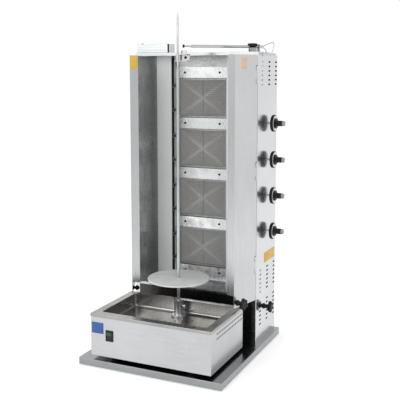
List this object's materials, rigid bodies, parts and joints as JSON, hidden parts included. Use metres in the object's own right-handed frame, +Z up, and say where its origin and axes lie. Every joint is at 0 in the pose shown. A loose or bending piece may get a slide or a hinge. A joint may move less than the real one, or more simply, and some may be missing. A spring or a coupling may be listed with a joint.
{
  "type": "gas doner kebab grill",
  "caption": "Vertical gas grill: burner tower with hinged heat shields, turning spit with meat plate on a sliding drip box, sliding top latch, valve knobs down the side.",
  "frame": {"origin": "on the floor under the middle of the base, level with the undersides of the rubber feet", "axes": "+X to the right seen from the front, +Y from the front to the back, +Z up"},
  "size_m": [0.591, 0.612, 1.237],
  "materials": {
    "stainless_sheet": "brushed stainless sheet",
    "bright_sheet": "mirror-bright stainless sheet",
    "galvanised_sheet": "plain sheet steel",
    "black_panel": "black painted sheet",
    "rubber_foot": "matt",
    "polished_bar": "polished bar",
    "black_plastic": "moulded",
    "green_rocker": "translucent rocker",
    "nylon": "natural nylon",
    "cast_alloy": "die cast",
    "ceramic": "perforated plaque",
    "wire_mesh": "woven heat-proof wire",
    "brass": "machined",
    "copper": "drawn copper pipe",
    "dark_screw": "blackened steel",
    "knob_body": "phenolic"
  },
  "bodies": {
    "tower": {"base_plate": "stainless_sheet", "rubber_feet": "rubber_foot", "base_rails": "polished_bar", "left_side_panel": "stainless_sheet", "right_side_panel": "bright_sheet", "rear_cover": "stainless_sheet", "top_cover": "stainless_sheet", "left_column": "bright_sheet", "right_column": "bright_sheet", "recess_panels": "galvanised_sheet", "crossbars": "bright_sheet", "header_panel": "galvanised_sheet", "sill": "bright_sheet", "kick_panel": "black_panel", "burner_housing_1": "galvanised_sheet", "burner_housing_2": "galvanised_sheet", "burner_housing_3": "galvanised_sheet", "burner_housing_4": "galvanised_sheet", "burner_meshes": "wire_mesh", "burner_plaques": "ceramic", "gas_manifold": "galvanised_sheet", "gas_valves": "brass", "gas_pipes": "copper", "cable_gland": "black_plastic", "hinge_leaves": "stainless_sheet", "hinge_pins": "polished_bar", "frame_screws": "dark_screw"},
    "drip_box": {"motor_box": "stainless_sheet", "drip_pan": "bright_sheet", "box_glides": "nylon", "motor_bracket": "galvanised_sheet", "gear_motor": "cast_alloy", "shaft_bearing": "brass", "switch_bezel": "black_plastic"},
    "rocker": {"switch_rocker": "green_rocker"},
    "spit": {"drive_shaft": "polished_bar", "drive_socket": "polished_bar", "spit_rod": "polished_bar", "plate_collar": "polished_bar", "meat_plate": "stainless_sheet"},
    "left_shield": {"left_wing": "stainless_sheet", "wing_nut": "black_plastic"},
    "right_shield": {"right_wing": "stainless_sheet"},
    "shield_knob": {"wing_knob": "black_plastic"},
    "panel_knob": {"side_knob": "black_plastic"},
    "top_slider": {"top_plate": "stainless_sheet", "top_box": "bright_sheet", "top_box_cap": "black_plastic", "clamp_block": "cast_alloy"},
    "rod_knob": {"clamp_knob": "black_plastic"},
    "spit_latch": {"latch_rod": "polished_bar", "spit_yoke": "bright_sheet"},
    "spindle_1": {"valve_spindle_1": "brass"},
    "gas_knob_1": {"gas_knob_1": "knob_body"},
    "spindle_2": {"valve_spindle_2": "brass"},
    "gas_knob_2": {"gas_knob_2": "knob_body"},
    "spindle_3": {"valve_spindle_3": "brass"},
    "gas_knob_3": {"gas_knob_3": "knob_body"},
    "spindle_4": {"valve_spindle_4": "brass"},
    "gas_knob_4": {"gas_knob_4": "knob_body"}
  },
  "joints": [
    {"name": "box_slide", "type": "slide", "parent": "tower", "child": "drip_box", "axis": [0, 1, 0], "range_m": [0, 0.06]},
    {"name": "top_slide", "type": "slide", "parent": "tower", "child": "top_slider", "axis": [0, 1, 0], "range_m": [0, 0.06]},
    {"name": "spit_turn", "type": "hinge", "parent": "drip_box", "child": "spit", "pos_m": [0, -0.048, 0.2], "axis": [0, 0, 1], "continuous": true},
    {"name": "latch_slide", "type": "slide", "parent": "top_slider", "child": "spit_latch", "axis": [0.784, 0.6207, 0], "range_m": [0, 0.06]},
    {"name": "rod_knob_turn", "type": "hinge", "parent": "top_slider", "child": "rod_knob", "pos_m": [0.216, 0.123, 1.1184], "axis": [0, 0, 1], "range_deg": [0, 180]},
    {"name": "left_shield_hinge", "type": "hinge", "parent": "tower", "child": "left_shield", "pos_m": [-0.2485, 0.0775, 0.645], "axis": [0, 0, 1], "range_deg": [-110, 35]},
    {"name": "right_shield_hinge", "type": "hinge", "parent": "tower", "child": "right_shield", "pos_m": [0.2485, 0.0775, 0.645], "axis": [0, 0, 1], "range_deg": [-45, 100]},
    {"name": "shield_knob_turn", "type": "hinge", "parent": "right_shield", "child": "shield_knob", "pos_m": [0.22564, -0.02715, 0.214], "axis": [0.9659, -0.2588, 0], "range_deg": [0, 180]},
    {"name": "panel_knob_turn", "type": "hinge", "parent": "tower", "child": "panel_knob", "pos_m": [0.253, 0.169, 0.148], "axis": [1, 0, 0], "range_deg": [0, 180]},
    {"name": "switch_tilt", "type": "hinge", "parent": "drip_box", "child": "rocker", "pos_m": [-0.155, -0.2795, 0.117], "axis": [1, 0, 0], "range_deg": [-14, 0]},
    {"name": "knob_1_push", "type": "slide", "parent": "tower", "child": "spindle_1", "axis": [-1, 0, 0], "range_m": [0, 0.004], "stiffness_N_per_m": 800, "springref_m": -0.005},
    {"name": "knob_1_turn", "type": "hinge", "parent": "spindle_1", "child": "gas_knob_1", "pos_m": [0.253, 0.203, 0.841], "axis": [1, 0, 0], "range_deg": [0, 180]},
    {"name": "knob_2_push", "type": "slide", "parent": "tower", "child": "spindle_2", "axis": [-1, 0, 0], "range_m": [0, 0.004], "stiffness_N_per_m": 800, "springref_m": -0.005},
    {"name": "knob_2_turn", "type": "hinge", "parent": "spindle_2", "child": "gas_knob_2", "pos_m": [0.253, 0.203, 0.7053], "axis": [1, 0, 0], "range_deg": [0, 180]},
    {"name": "knob_3_push", "type": "slide", "parent": "tower", "child": "spindle_3", "axis": [-1, 0, 0], "range_m": [0, 0.004], "stiffness_N_per_m": 800, "springref_m": -0.005},
    {"name": "knob_3_turn", "type": "hinge", "parent": "spindle_3", "child": "gas_knob_3", "pos_m": [0.253, 0.203, 0.5696], "axis": [1, 0, 0], "range_deg": [0, 180]},
    {"name": "knob_4_push", "type": "slide", "parent": "tower", "child": "spindle_4", "axis": [-1, 0, 0], "range_m": [0, 0.004], "stiffness_N_per_m": 800, "springref_m": -0.005},
    {"name": "knob_4_turn", "type": "hinge", "parent": "spindle_4", "child": "gas_knob_4", "pos_m": [0.253, 0.203, 0.4339], "axis": [1, 0, 0], "range_deg": [0, 180]}
  ],
  "couplings": [
    {"joint": "top_slide", "follows": "box_slide", "ratio": 1}
  ]
}
